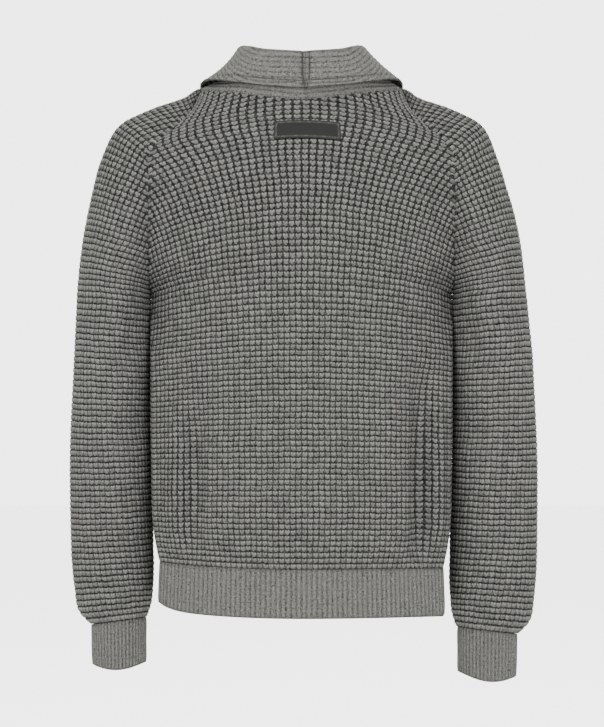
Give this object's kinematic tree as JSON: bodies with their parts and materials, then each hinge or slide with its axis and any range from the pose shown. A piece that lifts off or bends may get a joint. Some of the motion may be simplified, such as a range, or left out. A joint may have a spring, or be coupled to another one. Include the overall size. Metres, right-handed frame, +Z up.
{
  "type": "shawl collar cardigan",
  "caption": "Heavy waffle-knit cardigan with a ribbed shawl collar, buttoned front bands, ribbed hem and cuffs, filled out as worn with nobody in it.",
  "frame": {"origin": "on the middle plane, between the shoulders, level with the base of the neck, where a stand or hanger holds the garment", "axes": "+Z up, -Y towards the buttoned front, +X towards the wearer's left sleeve"},
  "size_m": [0.5878, 0.2467, 0.7915],
  "materials": {
    "waffle_knit": "matte heathered wool in waffle stitch",
    "rib_knit": "matte heathered wool in rib",
    "horn_button": "satin dark horn",
    "woven_tab": "matte dark woven tape"
  },
  "bodies": {
    "root": {"back": "waffle_knit", "front_left": "waffle_knit", "front_right": "waffle_knit", "sleeve_left": "waffle_knit", "sleeve_right": "waffle_knit", "cuff_left": "rib_knit", "cuff_right": "rib_knit", "hem_rib_back": "rib_knit", "hem_rib_front_left": "rib_knit", "hem_rib_front_right": "rib_knit", "collar_left": "rib_knit", "collar_right": "rib_knit", "back_tab": "woven_tab", "button_1": "horn_button", "button_2": "horn_button", "button_3": "horn_button", "button_4": "horn_button", "button_5": "horn_button"}
  },
  "joints": []
}
